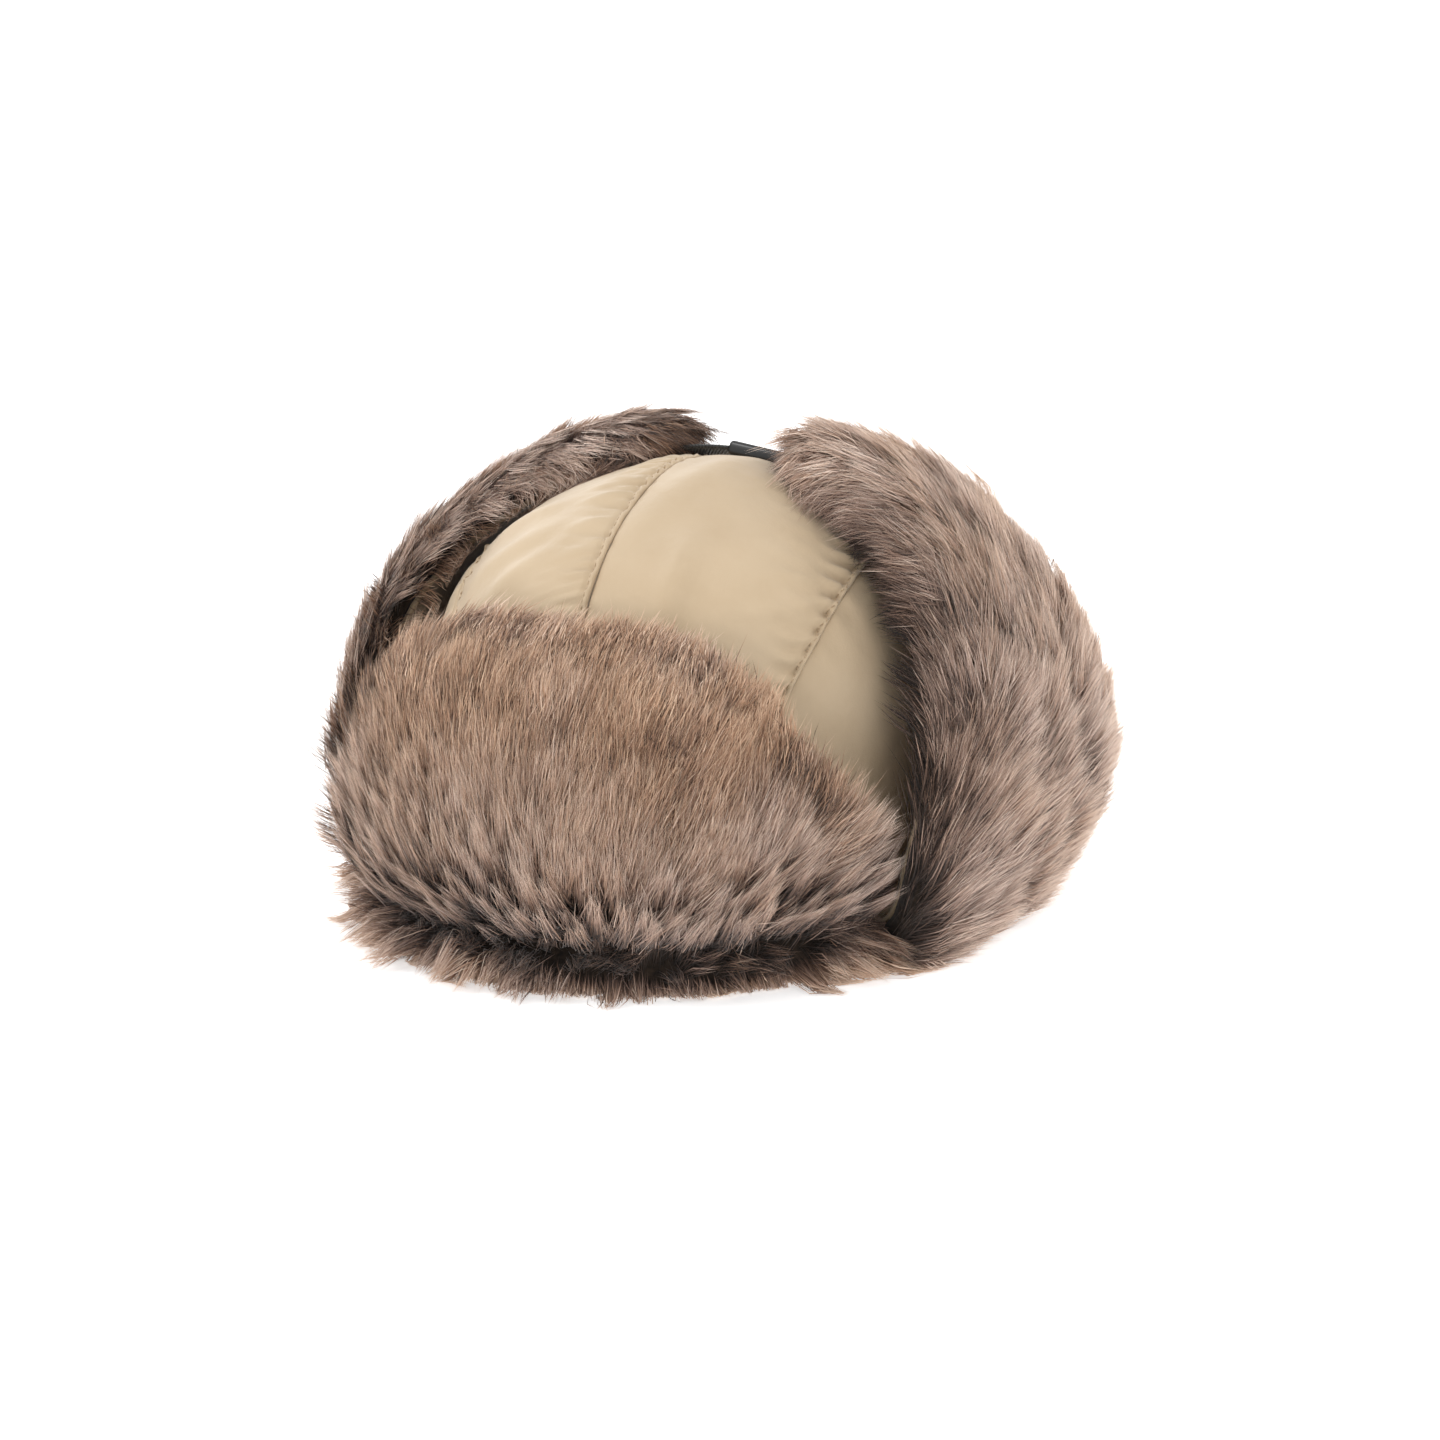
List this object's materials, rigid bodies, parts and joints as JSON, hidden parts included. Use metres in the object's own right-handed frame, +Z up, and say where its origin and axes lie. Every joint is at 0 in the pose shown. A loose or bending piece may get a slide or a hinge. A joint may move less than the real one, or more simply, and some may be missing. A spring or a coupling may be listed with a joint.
{
  "type": "ushanka fur trapper hat",
  "caption": "Padded cloth ushanka with brown fur flaps folded up at the front, sides and back, and a strap with a clasp joining the ear flaps over the crown.",
  "frame": {"origin": "on the surface that the hat rests on, below the middle of the whole hat", "axes": "+Z up, the hat faces -Y, +X is the wearer's left"},
  "size_m": [0.2817, 0.3075, 0.1839],
  "materials": {
    "crown_cloth": "beige woven nylon, slightly puckered at its seams",
    "flap_cloth": "beige woven nylon",
    "fur": "long grey-brown pile with lighter tips and dark roots",
    "strap_webbing": "black flat webbing",
    "clasp_plastic": "black plastic"
  },
  "bodies": {
    "root": {"crown_top_left": "crown_cloth", "crown_top_right": "crown_cloth", "crown_side_left": "crown_cloth", "crown_side_right": "crown_cloth", "front_flap_cloth": "flap_cloth", "front_flap_fur": "fur", "ear_flap_left_cloth": "flap_cloth", "ear_flap_left_fur": "fur", "ear_flap_right_cloth": "flap_cloth", "ear_flap_right_fur": "fur", "neck_flap_cloth": "flap_cloth", "neck_flap_fur": "fur", "strap_left": "strap_webbing", "strap_right": "strap_webbing", "strap_clasp": "clasp_plastic"}
  },
  "joints": []
}
